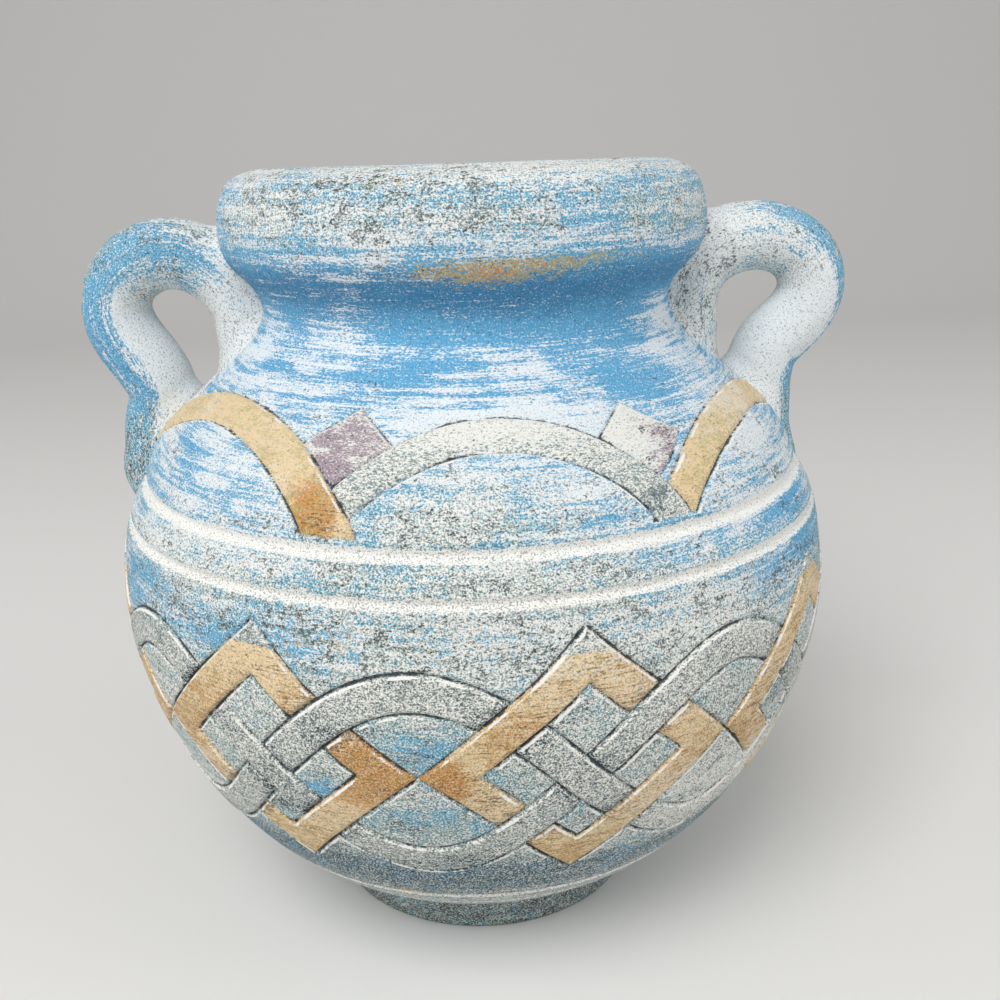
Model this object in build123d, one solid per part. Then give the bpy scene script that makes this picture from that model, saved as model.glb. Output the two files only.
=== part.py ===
from build123d import *
from math import cos, hypot, pi, sin
import os

# A two-handled clay jar in the manner of a hydria: thrown sections and pulled coils, luted with slip.
# Millimetres. Z is up, the origin is the middle of the circle that the foot stands on,
# the handles lie along X, and the front of the jar looks along -Y.

# Turned foot
foot_radius = 46.5
foot_flare = 4.5
foot_height = 12.0
foot_edge_round = 1.5
foot_land = 9.0
foot_hollow_depth = 3.5
foot_hollow_draft = 2.0

# Outer form of the thrown wall, each rise standing on the one before
bowl_rise = 91.0
belly_radius = 100.0
haunch_rise = 28.0
haunch_inset = 8.0
slope_rise = 31.5
root_rise = 11.5
root_width = 8.0
neck_radius = 56.0
flare_rise = 21.0
collar_overhang = 10.0
crown_rise = 16.0
crown_inset = 11.0

# Wall, floor, mouth and the bevelled seams between the sections
wall = 8.5
neck_wall = 9.0
floor_thickness = 10.0
floor_flat_radius = 30.0
mouth_round_drop = 12.0
collar_seam_rise = 9.0
seam_bevel = 3.0
cut_overrun = 10.0

# Turned lines: the wide pair at the top of the belly, and the thin pair above the foot
groove_spacing = 9.2
groove_width = 3.6
groove_depth = 1.2
low_ring_rise = 13.3
ring_spacing = 6.7
ring_width = 1.8
ring_depth = 0.5

# Pulled handles: the coil's own size, and how it stands off the wall
coil_thickness = 19.5
coil_width = 22.0
leg_standoff = 4.2
loop_span = 37.0
loop_rise = 25.0
tail_lift_left = 6.0
tail_lift_right = 0.0

# Carved ribbons of the interlace
ribbon_width = 9.6
line_width = 1.2
ribbon_relief = 0.7
ribbon_root = 1.5

# Interlace round the belly: linked squares on their corners, with two waving strands through them
link_count = 8
link_height = 70.6
link_drop = 22.5
link_turn = 14.0
strand_swing = 25.3
strand_drop = 3.0

# Levels and radii that follow from the sizes above
foot_waist_radius = foot_radius + foot_flare
belly_level = foot_height + bowl_rise
groove_level = belly_level + haunch_rise
groove_radius = belly_radius - haunch_inset
shoulder_top_level = groove_level + slope_rise
shoulder_top_radius = neck_radius + root_width
neck_level = shoulder_top_level + root_rise
collar_level = neck_level + flare_rise
collar_radius = neck_radius + collar_overhang
lip_level = collar_level + crown_rise
lip_radius = collar_radius - crown_inset
floor_level = foot_height + floor_thickness
mouth_radius = neck_radius - neck_wall
outside = belly_radius + cut_overrun

# Outline shares, as (share of the way in radius, share of the way in height).
# From the foot's top out and up to the widest level
bowl_shares = ((0.0, 0.0), (0.34, 0.145), (0.60, 0.31), (0.87, 0.59))
# From the widest level in and up to the upper groove
haunch_shares = ((0.0, 0.0), (0.13, 0.34), (0.42, 0.70), (1.0, 1.0))
# From the upper groove in and up to the shoulder's top
slope_shares = ((0.0, 0.0), (0.17, 0.31), (0.50, 0.61), (0.81, 0.84))
# From the shoulder's top in and up to the neck's waist
root_shares = ((0.0, 0.0), (0.70, 0.53))
# From the neck's waist out and up to the collar's widest level
flare_shares = ((0.0, 0.0), (0.28, 0.36), (0.78, 0.62))
# From the collar's widest level in and up to the lip's crown
crown_shares = ((0.0, 0.0), (0.08, 0.45), (0.34, 0.80), (1.0, 1.0))

# Places along the two outer lines where the hollow is set off from them
belly_wall_shares = (0.28, 0.50, 0.72, 0.92)
slope_wall_shares = (0.11, 0.23, 0.34)

# The coils' loops, bent by hand and so not quite alike, as (share of the way from the neck leg out
# to the loop's reach, share of the way from the shoulder's top up to the crown, share of the
# coil's full thickness)
left_loop_shares = (
    (0.00, -0.35, 0.90),
    (0.00, 0.11, 1.00),
    (0.05, 0.48, 0.98),
    (0.24, 0.83, 0.99),
    (0.53, 1.00, 0.99),
    (0.79, 0.92, 0.98),
    (0.96, 0.69, 0.96),
    (1.00, 0.41, 0.96),
    (0.915, 0.10, 0.98),
    (0.79, -0.17, 1.00),
)
right_loop_shares = (
    (0.02, -0.35, 0.90),
    (0.02, 0.11, 1.00),
    (0.03, 0.48, 0.98),
    (0.18, 0.82, 0.98),
    (0.50, 1.00, 0.98),
    (0.80, 0.93, 0.95),
    (0.98, 0.69, 0.93),
    (1.01, 0.41, 0.93),
    (0.88, 0.10, 0.94),
    (0.69, -0.16, 0.96),
)
# Their tails down the wall, as (share along the upper outer line, share of the coil's thickness that
# the middle stands off that line, share of the coil's full thickness, share of the tail's extra lift)
left_tail_shares = (
    (0.18, 0.26, 0.96, 0.2),
    (0.14, -0.02, 0.90, 0.8),
    (0.065, -0.25, 0.86, 1.0),
)
right_tail_shares = (
    (0.18, 0.10, 0.94, 0.2),
    (0.14, -0.06, 0.88, 0.8),
    (0.065, -0.25, 0.84, 1.0),
)
# The end of either tail, in the same way on the belly's outer line below the upper groove
tail_end_shares = (
    (0.99, -0.28, 0.70, 0.9),
    (0.955, -0.42, 0.54, 0.7),
)


def stations(start, end, shares):
    """Points between two (radius, height) corners at the given shares of the way."""
    r0, z0 = start
    r1, z1 = end
    return [(r0 + (r1 - r0) * r_share, z0 + (z1 - z0) * z_share) for r_share, z_share in shares]


def beside(curve, share, distance):
    """The point at a distance outside an upward line, square to it."""
    place = curve @ share
    along = curve % share
    return (place.X + along.Y * distance, place.Y - along.X * distance)


def belly_curve():
    """Outer line of the thrown bowl, from the foot's top to the upper groove."""
    foot_top = (foot_waist_radius, foot_height)
    widest = (belly_radius, belly_level)
    groove = (groove_radius, groove_level)
    points = stations(foot_top, widest, bowl_shares) + stations(widest, groove, haunch_shares)
    return Spline(*points)


def upper_curve():
    """Outer line of shoulder, neck and collar, from the upper groove to the lip's crown."""
    groove = (groove_radius, groove_level)
    top = (shoulder_top_radius, shoulder_top_level)
    waist = (neck_radius, neck_level)
    widest = (collar_radius, collar_level)
    crown = (lip_radius, lip_level)
    points = stations(groove, top, slope_shares) + stations(top, waist, root_shares)
    points += stations(waist, widest, flare_shares) + stations(widest, crown, crown_shares)
    return Spline(*points)


def hollow_lines(belly, upper):
    """Lines of the hollow: one wall's thickness in from the outer lines, then a round throat."""
    points = [(floor_flat_radius, floor_level)]
    points += [beside(belly, share, -wall) for share in belly_wall_shares]
    points += [beside(upper, share, -wall) for share in slope_wall_shares]
    inner = Spline(*points, tangents=((1, 0), upper % slope_wall_shares[-1]))
    start = inner @ 1
    along = inner % 1
    corner_level = start.Y + (start.X - mouth_radius) * along.Y / abs(along.X)
    throat = Bezier(start, (mouth_radius, corner_level), (mouth_radius, neck_level))
    return inner, throat


def point_at_level(curve, level):
    """The point of a rising line at one height, found by halving."""
    low, high = 0.0, 1.0
    for _ in range(40):
        middle = (low + high) / 2
        if (curve @ middle).Y < level:
            low = middle
        else:
            high = middle
    return curve @ low


def turned_cut(place, width, depth):
    """Round nose of the turning tool, set into the outer line at one place."""
    nose = (width**2 / 4 + depth**2) / (2 * depth)
    return Pos(place.X + nose - depth, place.Y) * Circle(nose)


def wall_section():
    """Half section of the whole thrown wall above the foot, with its turned lines."""
    belly = belly_curve()
    upper = upper_curve()
    inner, throat = hollow_lines(belly, upper)
    mouth_round = (mouth_radius, lip_level - mouth_round_drop)
    lip = Spline(upper @ 1, mouth_round, tangents=((-1, 0), (0, -1)))
    bore = Line(mouth_round, throat @ 1)
    floor = Line(inner @ 0, (0, floor_level))
    middle = Line((0, floor_level), (0, foot_height))
    under = Line((0, foot_height), belly @ 0)
    section = make_face([belly, upper, lip, bore, throat, inner, floor, middle, under])
    section -= turned_cut(belly @ 1, groove_width, groove_depth)
    section -= turned_cut(point_at_level(belly, groove_level - groove_spacing), groove_width, groove_depth)
    for rise in (low_ring_rise, low_ring_rise + ring_spacing):
        section -= turned_cut(point_at_level(belly, foot_height + rise), ring_width, ring_depth)
    return section


def above(seam):
    """All of the half plane above a bevelled seam, which climbs by the bevel across one wall inwards."""
    radius, level = seam
    slope = seam_bevel / wall
    top = lip_level + cut_overrun
    at_axis = level + slope * radius
    at_outside = level - slope * (outside - radius)
    return make_face(Polyline((0, at_axis), (outside, at_outside), (outside, top), (0, top), close=True))


def thrown(section, arc=360):
    """Turn a half section on the wheel, all round or through an arc that is centred on the front."""
    return Rot(0, 0, -90 - arc / 2) * revolve(Plane.XZ * section, Axis.Z, arc)


def relief_layer(curve, arc):
    """A thin layer over an outer line, which the ribbons are cut from: rooted below, proud above."""
    shares = [step / 10 for step in range(11)]
    proud = Spline(*[beside(curve, share, ribbon_relief) for share in shares])
    root = Spline(*[beside(curve, share, -ribbon_root) for share in shares])
    return thrown(make_face([proud, Line(proud @ 1, root @ 1), root, Line(root @ 0, proud @ 0)]), arc)


def outwards(face):
    """Push a flat outline, drawn as seen from the front, out through the front wall."""
    front = Plane(origin=(0, 0, 0), x_dir=(1, 0, 0), z_dir=(0, -1, 0))
    return extrude(front * face, outside)


def link_square(inset):
    """A link's square on its corner, its sides moved in by an inset."""
    half_height = link_height / 2
    half_width = point_at_level(belly_curve(), belly_level - link_drop).X * sin(pi / link_count)
    share = 1 - inset * hypot(half_width, half_height) / (half_width * half_height)
    width, height = half_width * share, half_height * share
    corners = Polyline((0, height), (width, 0), (0, -height), (-width, 0), close=True)
    return Pos(0, belly_level - link_drop) * make_face(corners)


def strand(direction, half_width):
    """One waving strand where it crosses a link, rising to the right if the direction is 1."""
    radius = point_at_level(belly_curve(), belly_level - link_drop).X
    pitch = 2 * pi * radius / link_count
    edges = []
    for side in (half_width, -half_width):
        points = []
        for step in range(-6, 7):
            along = step / 6 * 0.56 * pitch
            rise = direction * strand_swing * sin(pi * along / pitch)
            slope = direction * strand_swing * pi / pitch * cos(pi * along / pitch)
            turn = (along - side * slope / hypot(1, slope)) / radius
            points.append((radius * sin(turn), rise + side / hypot(1, slope)))
        edges.append(Spline(*points))
    top, bottom = edges
    band = make_face([top, Line(top @ 1, bottom @ 1), bottom, Line(bottom @ 0, top @ 0)])
    return Pos(0, belly_level - link_drop - strand_drop) * band


def interlaced(section):
    """The lower wall with its carved interlace: over and under, each crossing kept apart by a line."""
    gap = line_width / 2
    half = ribbon_width / 2
    link = link_square(gap) - link_square(ribbon_width - gap)
    link_room = link_square(-gap) - link_square(ribbon_width + gap)
    falling = strand(-1, half - gap)
    crossing_room = strand(-1, half + gap) & link_square(ribbon_width - gap)
    outlines = [link - strand(1, half + gap), falling - link_room, strand(1, half - gap) - crossing_room]
    arc = 360 / link_count
    layer = relief_layer(belly_curve(), arc)
    pads = [outwards(face) & layer for outline in outlines for face in outline.faces()]
    carved = thrown(section, arc).solids()[0].fuse(*[piece for pad in pads for piece in pad.solids()])
    copies = [Rot(0, 0, link_turn + place * arc) * carved for place in range(link_count)]
    return copies[0].fuse(*copies[1:])


def foot_ring():
    """Turned foot: a low flared disc with a shallow hollow underneath."""
    hollow_radius = foot_radius - foot_land
    hollow_top = (hollow_radius - foot_hollow_draft, foot_hollow_depth)
    corners = [(0, foot_hollow_depth), hollow_top, (hollow_radius, 0), (foot_radius - foot_edge_round, 0)]
    corners += [(foot_radius, foot_edge_round), (foot_waist_radius, foot_height), (0, foot_height)]
    return thrown(make_face(Polyline(*corners, close=True)))


def thrown_sections():
    """The four thrown sections of the wall, each one bevelled on to the one below."""
    section = wall_section()
    over_groove = above((groove_radius, groove_level))
    over_shoulder = above((shoulder_top_radius, shoulder_top_level))
    over_neck = above((neck_radius, neck_level + collar_seam_rise))
    return {
        "lower_body": interlaced(section - over_groove),
        "shoulder": thrown((section & over_groove) - over_shoulder),
        "neck_ring": thrown((section & over_shoulder) - over_neck),
        "rim_collar": thrown(section & over_neck),
    }


def vessel_bulk():
    """The jar as one turned bulk without its hollow, to scribe the handles' ends to the wall."""
    belly = belly_curve()
    upper = upper_curve()
    top = Line(upper @ 1, (0, lip_level))
    middle = Line((0, lip_level), (0, foot_height))
    under = Line((0, foot_height), belly @ 0)
    return thrown(make_face([belly, upper, top, middle, under]))


def coil_stations(loop, tail, tail_lift):
    """Middle line of a coil as (x, z, share of full thickness): its loop, then its tail down the wall."""
    crown = neck_level + loop_rise - coil_thickness / 2
    line = []
    for out_share, up_share, thick_share in loop:
        level = shoulder_top_level + (crown - shoulder_top_level) * up_share
        line.append((neck_radius + leg_standoff + loop_span * out_share, level, thick_share))
    for wall_line, shares in ((upper_curve(), tail), (belly_curve(), tail_end_shares)):
        for along_share, off_share, thick_share, lift_share in shares:
            x, z = beside(wall_line, along_share, coil_thickness * off_share)
            line.append((x + tail_lift * lift_share, z, thick_share))
    return line


def pulled_handle(side, loop, tail, tail_lift, bulk):
    """A tapering pulled coil, lofted along its middle line and scribed to the wall."""
    line = coil_stations(loop, tail, tail_lift)
    path = Spline(*[(side * x, 0, z) for x, z, _ in line])
    rings = []
    for x, z, thick_share in line:
        share = path.param_at_point(Vector(side * x, 0, z))
        plane = Plane(origin=path @ share, x_dir=(0, 1, 0), z_dir=path % share)
        rings.append(plane * Ellipse(coil_width / 2 * thick_share, coil_thickness / 2 * thick_share))
    return loft(rings) - bulk


def main():
    os.makedirs("parts", exist_ok=True)
    bulk = vessel_bulk()
    nodes = {"foot_ring": foot_ring()}
    nodes.update(thrown_sections())
    nodes["handle_left"] = pulled_handle(-1, left_loop_shares, left_tail_shares, tail_lift_left, bulk)
    nodes["handle_right"] = pulled_handle(1, right_loop_shares, right_tail_shares, tail_lift_right, bulk)
    for name, node in nodes.items():
        export_step(node, "parts/" + name + ".step")


main()
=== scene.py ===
import math
from functools import partial

import bpy
import numpy as np
from mathutils import Matrix, Vector


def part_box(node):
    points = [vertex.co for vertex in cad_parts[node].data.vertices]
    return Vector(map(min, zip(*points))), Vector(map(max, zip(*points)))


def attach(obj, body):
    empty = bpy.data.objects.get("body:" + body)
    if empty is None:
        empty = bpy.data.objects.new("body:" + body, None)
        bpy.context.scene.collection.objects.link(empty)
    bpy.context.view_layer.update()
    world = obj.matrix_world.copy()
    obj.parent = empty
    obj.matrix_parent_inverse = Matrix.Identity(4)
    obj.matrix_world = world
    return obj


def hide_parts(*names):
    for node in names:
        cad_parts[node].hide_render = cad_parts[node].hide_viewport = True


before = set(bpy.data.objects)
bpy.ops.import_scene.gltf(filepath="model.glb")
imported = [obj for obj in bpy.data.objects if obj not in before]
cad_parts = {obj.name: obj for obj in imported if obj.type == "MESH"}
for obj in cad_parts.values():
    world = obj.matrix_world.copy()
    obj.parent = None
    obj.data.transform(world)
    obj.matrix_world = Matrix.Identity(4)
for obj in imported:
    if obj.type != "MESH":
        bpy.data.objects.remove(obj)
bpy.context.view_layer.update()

FOOT_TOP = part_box("foot_ring")[1].z
LIP_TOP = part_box("rim_collar")[1].z
MM = 0.001
# A distance from a carved edge where nothing is carved near
FAR = 40 * MM
# How far the drawn surface keeps inside the solids, and how much further at the lip
SKIN_INSET = 0.15 * MM
LIP_INSET = 0.25 * MM
# Half width of a carved line, and place, half width and rise of the burr beside it; the burr's white paint,
# only below a line, is partly a painted highlight
LINE_HALF = 0.42 * MM
BURR_AND_HIGHLIGHT_PLACE = 0.75 * MM
BURR_HALF = 0.35 * MM
BURR_RISE = 0.14 * MM
# The dip where a strand goes under another, and the dark wash that gathers in it
DIP_REACH = 2.5 * MM
DIP_DEPTH = 0.3 * MM
DIP_WASH = 0.36
# From where to where inside its outline a ribbon, or a tab, rises to its height
RIBBON_EDGE = (0.1 * MM, 1.4 * MM)
TAB_EDGE = (0.1 * MM, 1.2 * MM)
# Between two rows of the hollow's side
HOLLOW_STEP = 3 * MM
# The height that the handles' loops curl round, and their pulling's unevenness and the size of its waves
LOOP_CENTRE = 155 * MM
COIL_UNEVEN = 0.3 * MM
COIL_WAVE = 14 * MM

bl_info = {
    "name": "Carved hydria jar",
    "version": (1, 0, 0),
    "blender": (4, 5, 0),
    "location": "View3D > Sidebar > Jar",
    "description": "A two-handled clay jar with carved interlace under sanded chalk paint",
    "category": "Add Mesh",
}


def length(name, text, millimetres):
    """A size in metres that a user can change, given here in millimetres."""
    return bpy.props.FloatProperty(
        name=name, description=text, default=millimetres * MM, precision=4, unit="LENGTH")


def turn(name, text, degrees):
    """An angle that a user can change, given here in degrees."""
    return bpy.props.FloatProperty(
        name=name, description=text, default=math.radians(degrees), unit="ROTATION")


def linear(hex_value):
    """Turn an sRGB hex value into the three linear numbers that Blender's shaders take."""
    shares = [int(hex_value[i:i + 2], 16) / 255 for i in (0, 2, 4)]
    return [v / 12.92 if v <= 0.04045 else ((v + 0.055) / 1.055) ** 2.4 for v in shares]


def colour(name, text, hex_value):
    """A colour that a user can change, given here as an sRGB hex value."""
    return bpy.props.FloatVectorProperty(
        name=name, description=text, default=linear(hex_value), size=3, min=0.0, max=1.0, subtype="COLOR")


class JarSizes(bpy.types.PropertyGroup):
    foot_radius: length("Foot radius", "Radius that the foot stands on", 46.5)
    foot_flare: length("Foot flare", "How far the foot widens up to the bowl", 4.5)
    foot_land: length("Foot land", "Width of the ring that touches the table", 9.0)
    foot_recess: length("Foot recess", "Depth of the hollow under the foot", 3.5)
    bowl_rise: length("Bowl rise", "From the foot's top up to the widest level", 91.0)
    belly_radius: length("Belly radius", "Radius at the widest level", 100.0)
    haunch_rise: length("Haunch rise", "From the widest level up to the upper groove", 28.0)
    haunch_inset: length("Haunch inset", "How far the wall leans in over that rise", 8.0)
    slope_rise: length("Slope rise", "From the upper groove up to the shoulder's top", 31.5)
    root_rise: length("Root rise", "From the shoulder's top up to the neck's waist", 11.5)
    root_width: length("Root width", "How far the wall leans in over that rise", 8.0)
    neck_radius: length("Neck radius", "Radius at the neck's waist", 56.0)
    flare_rise: length("Flare rise", "From the waist up to the collar's widest level", 21.0)
    collar_overhang: length("Collar overhang", "How far the collar stands out over the waist", 10.0)
    crown_rise: length("Crown rise", "From the collar's widest level up to its crown", 16.0)
    crown_inset: length("Crown inset", "How far the crown lies inside the widest level", 11.0)
    wall: length("Wall", "Thickness of the thrown wall", 8.5)
    neck_wall: length("Neck wall", "Thickness at the neck's waist", 9.0)
    floor_thickness: length("Floor", "Thickness of the floor over the foot", 10.0)
    floor_flat_radius: length("Flat floor radius", "Radius of the flat middle of the floor", 30.0)
    mouth_round_drop: length("Mouth round", "How far down the mouth is rounded", 12.0)
    collar_seam_rise: length("Collar seam", "From the neck's waist up to the seam under the collar", 9.0)
    seam_bevel: length("Seam bevel", "How far a seam climbs across the wall", 3.0)


class CarvingSizes(bpy.types.PropertyGroup):
    groove_spacing: length("Groove spacing", "Between the two grooves at the top of the belly", 9.2)
    groove_width: length("Groove width", "Width of those grooves", 3.6)
    groove_depth: length("Groove depth", "Depth of those grooves", 1.2)
    low_ring_rise: length("Low ring rise", "From the foot's top up to the lower thin ring", 13.3)
    ring_spacing: length("Ring spacing", "Between the two thin rings", 6.7)
    ring_width: length("Ring width", "Width of the thin rings", 1.8)
    ring_depth: length("Ring depth", "Depth of the thin rings", 0.5)
    ribbon_width: length("Ribbon width", "Width of the carved ribbons", 9.6)
    ribbon_relief: length("Ribbon relief", "How far the ribbons stand proud", 0.40)
    line_depth: length("Line depth", "Depth of the incised outlines", 0.7)
    link_height: length("Link height", "Height of a square link on its corner", 70.6)
    link_drop: length("Link drop", "From the widest level down to the links' middles", 22.5)
    strand_swing: length("Strand swing", "Rise of a waving strand over its middle line", 25.3)
    strand_drop: length("Strand drop", "The strands' middle line below the links' middles", 3.0)
    link_turn: turn("Link turn", "Turn of the first link to the right of the front", 14.0)
    link_count: bpy.props.IntProperty(
        name="Links", description="Square links round the belly", default=8, min=3)


class HandleSizes(bpy.types.PropertyGroup):
    coil_thickness: length("Coil thickness", "Thickness of the pulled coil", 19.5)
    coil_width: length("Coil width", "Width of the coil, seen from the side", 22.0)
    leg_standoff: length("Leg stand-off", "The inner leg's middle line outside the neck's waist", 4.2)
    loop_span: length("Loop span", "From the inner leg's middle line out to the loop's", 37.0)
    loop_rise: length("Loop rise", "From the neck's waist up to the loop's top", 25.0)
    tail_lift_left: length("Left tail lift", "How much fuller the left tail lies on the wall", 6.0)
    tail_lift_right: length("Right tail lift", "How much fuller the right tail lies on the wall", 0.0)
    smear: length("Smear", "Height over the wall up to which the clay is smeared into it", 5.0)


class PaintColours(bpy.types.PropertyGroup):
    sky: colour("Sky blue", "Brushed chalk paint", "5FA5CE")
    shoal: colour("Shoal", "The same paint where sanding has dulled it", "72AABC")
    deep: colour("Deep blue", "The same paint where it lies thick or shaded", "4788B2")
    wash: colour("Grey wash", "Sanded mixture of all coats on the belly", "98ACA8")
    # Steel blue low on the bowl is partly painted shade
    steel: colour("Steel blue", "The wash low on the bowl", "446266")
    pale: colour("Pale rub", "Off-white brushed over the blue", "E4EAEE")
    bone: colour("Bone", "Off-white grain of the sanded belly", "E6E5DD")
    # Chalk also paints the highlight below the carved lines
    chalk: colour("Chalk", "Filled grooves, burrs and edges", "F0EFEA")
    stone: colour("Stone grey", "Sanded ribbons", "8C9895")
    teal: colour("Dark teal", "Wash left in pores and lines", "2F5058")
    # Charcoal also paints the grit's shadow specks, and chalk and bone its highlight specks
    soot: colour("Charcoal", "Deepest lines and pits", "20303A")
    tan: colour("Tan", "Pale ochre ribbons", "E5C99C")
    ochre: colour("Ochre", "Strong ochre stains", "C58B40")
    olive: colour("Olive", "Yellow-olive flecks", "B8A96E")
    mauve: colour("Mauve", "Stain on the shoulder's tabs", "8A6C7C")
    clay: colour("Terracotta", "Bare clay in chips", "D08848")
    floor: colour("Floor", "Plain pale floor", "E4E3E1")


# Outline shares, as (share of the way in radius, share of the way in height)
BOWL_SHARES = ((0.0, 0.0), (0.34, 0.145), (0.60, 0.31), (0.87, 0.59))
HAUNCH_SHARES = ((0.0, 0.0), (0.13, 0.34), (0.42, 0.70), (1.0, 1.0))
SLOPE_SHARES = ((0.0, 0.0), (0.17, 0.31), (0.50, 0.61), (0.81, 0.84))
ROOT_SHARES = ((0.0, 0.0), (0.70, 0.53))
FLARE_SHARES = ((0.0, 0.0), (0.28, 0.36), (0.78, 0.62))
CROWN_SHARES = ((0.0, 0.0), (0.08, 0.45), (0.34, 0.80), (1.0, 1.0))
# Places along the two outer lines where the hollow is set off from them
BELLY_WALL_SHARES = (0.28, 0.50, 0.72, 0.92)
SLOPE_WALL_SHARES = (0.11, 0.23, 0.34)
# The coils' loops, as (share of the span out, share of the way up to the crown, share of the thickness)
LEFT_LOOP = (
    (0.00, -0.35, 0.90), (0.00, 0.11, 1.00), (0.05, 0.48, 0.98), (0.24, 0.83, 0.99), (0.53, 1.00, 0.99),
    (0.79, 0.92, 0.98), (0.96, 0.69, 0.96), (1.00, 0.41, 0.96), (0.915, 0.10, 0.98), (0.79, -0.17, 1.00))
RIGHT_LOOP = (
    (0.02, -0.35, 0.90), (0.02, 0.11, 1.00), (0.03, 0.48, 0.98), (0.18, 0.82, 0.98), (0.50, 1.00, 0.98),
    (0.80, 0.93, 0.95), (0.98, 0.69, 0.93), (1.01, 0.41, 0.93), (0.88, 0.10, 0.94), (0.69, -0.16, 0.96))
# Their tails, as (share along the outer line, stand-off share, thickness share, lift share)
LEFT_TAIL = ((0.18, 0.26, 0.96, 0.2), (0.14, -0.02, 0.90, 0.8), (0.065, -0.25, 0.86, 1.0))
RIGHT_TAIL = ((0.18, 0.10, 0.94, 0.2), (0.14, -0.06, 0.88, 0.8), (0.065, -0.25, 0.84, 1.0))
TAIL_END = ((0.99, -0.28, 0.70, 0.9), (0.955, -0.42, 0.54, 0.7))


def stations(start, end, shares):
    """Points between two (radius, height) corners at the given shares of the way."""
    start, end = np.array(start), np.array(end)
    return [start + (end - start) * np.array(share) for share in shares]


def smooth_line(points, count=1500):
    """Natural cubic spline through the points over their chord length, read at even steps of it.

    The first two values of a point are its place, and any others are carried along."""
    points = np.array(points, float)
    knots = np.concatenate([[0.0], np.cumsum(np.linalg.norm(np.diff(points[:, :2], axis=0), axis=1))])
    gap = np.diff(knots)[:, None]
    size = len(knots)
    matrix = np.eye(size)
    pull = np.zeros_like(points)
    inner = np.arange(1, size - 1)
    matrix[inner, inner - 1] = gap[:-1, 0]
    matrix[inner, inner] = 2 * (gap[:-1, 0] + gap[1:, 0])
    matrix[inner, inner + 1] = gap[1:, 0]
    steps = np.diff(points, axis=0) / gap
    pull[1:-1] = 6 * (steps[1:] - steps[:-1])
    bend = np.linalg.solve(matrix, pull)
    along = np.linspace(0, knots[-1], count)
    span = np.clip(np.searchsorted(knots, along, "right") - 1, 0, size - 2)
    after = ((along - knots[span]) / gap[span, 0])[:, None]
    before = 1 - after
    curve = before * points[span] + after * points[span + 1]
    curve += ((before**3 - before) * bend[span] + (after**3 - after) * bend[span + 1]) * gap[span] ** 2 / 6
    return curve


def beside(curve, share, distance):
    """The point at a distance outside an upward line, square to it, at a share of its length."""
    along = np.gradient(curve, axis=0)
    index = round(share * (len(curve) - 1))
    way = along[index] / np.linalg.norm(along[index])
    return curve[index] + np.array([way[1], -way[0]]) * distance


def outer_lines(jar):
    """The wall's two outer lines: foot to upper groove, and upper groove to the lip's crown."""
    waist_level = FOOT_TOP + jar.bowl_rise + jar.haunch_rise + jar.slope_rise + jar.root_rise
    foot = (jar.foot_radius + jar.foot_flare, FOOT_TOP)
    widest = (jar.belly_radius, FOOT_TOP + jar.bowl_rise)
    groove = (jar.belly_radius - jar.haunch_inset, widest[1] + jar.haunch_rise)
    top = (jar.neck_radius + jar.root_width, groove[1] + jar.slope_rise)
    waist = (jar.neck_radius, waist_level)
    collar = (jar.neck_radius + jar.collar_overhang, waist_level + jar.flare_rise)
    crown = (collar[0] - jar.crown_inset, collar[1] + jar.crown_rise)
    belly = smooth_line(stations(foot, widest, BOWL_SHARES) + stations(widest, groove, HAUNCH_SHARES))
    upper = stations(groove, top, SLOPE_SHARES) + stations(top, waist, ROOT_SHARES)
    upper += stations(waist, collar, FLARE_SHARES) + stations(collar, crown, CROWN_SHARES)
    levels = {"groove": groove[1], "top": top[1], "waist": waist[1], "crown": crown[1]}
    return belly, smooth_line(upper), levels


def arc_between(start, end, start_way, end_way, count=120):
    """Cubic Hermite curve between two points with given directions, as long as the chord."""
    start, end = np.array(start), np.array(end)
    reach = np.linalg.norm(end - start)
    t = np.linspace(0, 1, count)[:, None]
    curve = (2 * t**3 - 3 * t**2 + 1) * start + (3 * t**2 - 2 * t**3) * end
    return curve + reach * ((t**3 - 2 * t**2 + t) * np.array(start_way) + (t**3 - t**2) * np.array(end_way))


def hollow_line(jar, belly, upper, levels):
    """The hollow's line, from the mouth's rounding down the bore and along the wall to the floor."""
    mouth = jar.neck_radius - jar.neck_wall
    points = [(jar.floor_flat_radius, FOOT_TOP + jar.floor_thickness)]
    points += [beside(belly, share, -jar.wall) for share in BELLY_WALL_SHARES]
    points += [beside(upper, share, -jar.wall) for share in SLOPE_WALL_SHARES]
    inner = smooth_line(points)
    way = inner[-1] - inner[-2]
    corner = np.array([mouth, inner[-1][1] + (inner[-1][0] - mouth) * way[1] / abs(way[0])])
    waist = np.array([mouth, levels["waist"]])
    t = np.linspace(0, 1, 80)[:, None]
    throat = (1 - t) ** 2 * inner[-1] + 2 * t * (1 - t) * corner + t**2 * waist
    bore = np.array([mouth, levels["crown"] - jar.mouth_round_drop])
    return np.concatenate([inner, throat[1:], [bore]])[::-1]


def run_of(curve):
    """Length along a line at each of its points."""
    return np.concatenate([[0.0], np.cumsum(np.linalg.norm(np.diff(curve, axis=0), axis=1))])


def read_line(curve, runs):
    """Points of a line at given lengths along it."""
    own = run_of(curve)
    return np.stack([np.interp(runs, own, curve[:, axis]) for axis in (0, 1)], axis=1)


def unit(vectors, least=1e-12):
    """Vectors brought to length 1, except those shorter than the least length, which stay shorter."""
    return vectors / np.maximum(np.linalg.norm(vectors, axis=-1, keepdims=True), least)


def directions(line, *places):
    """The unit way along a line at each of its points, which lie at even steps or at the given places."""
    return unit(np.gradient(line, *places, axis=0))


def grid_normals(points):
    """Unit normals of a grid that is closed across, each from its point's neighbours."""
    across = np.roll(points, -1, 1) - np.roll(points, 1, 1)
    return unit(np.cross(across, np.gradient(points, axis=0)))


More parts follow.
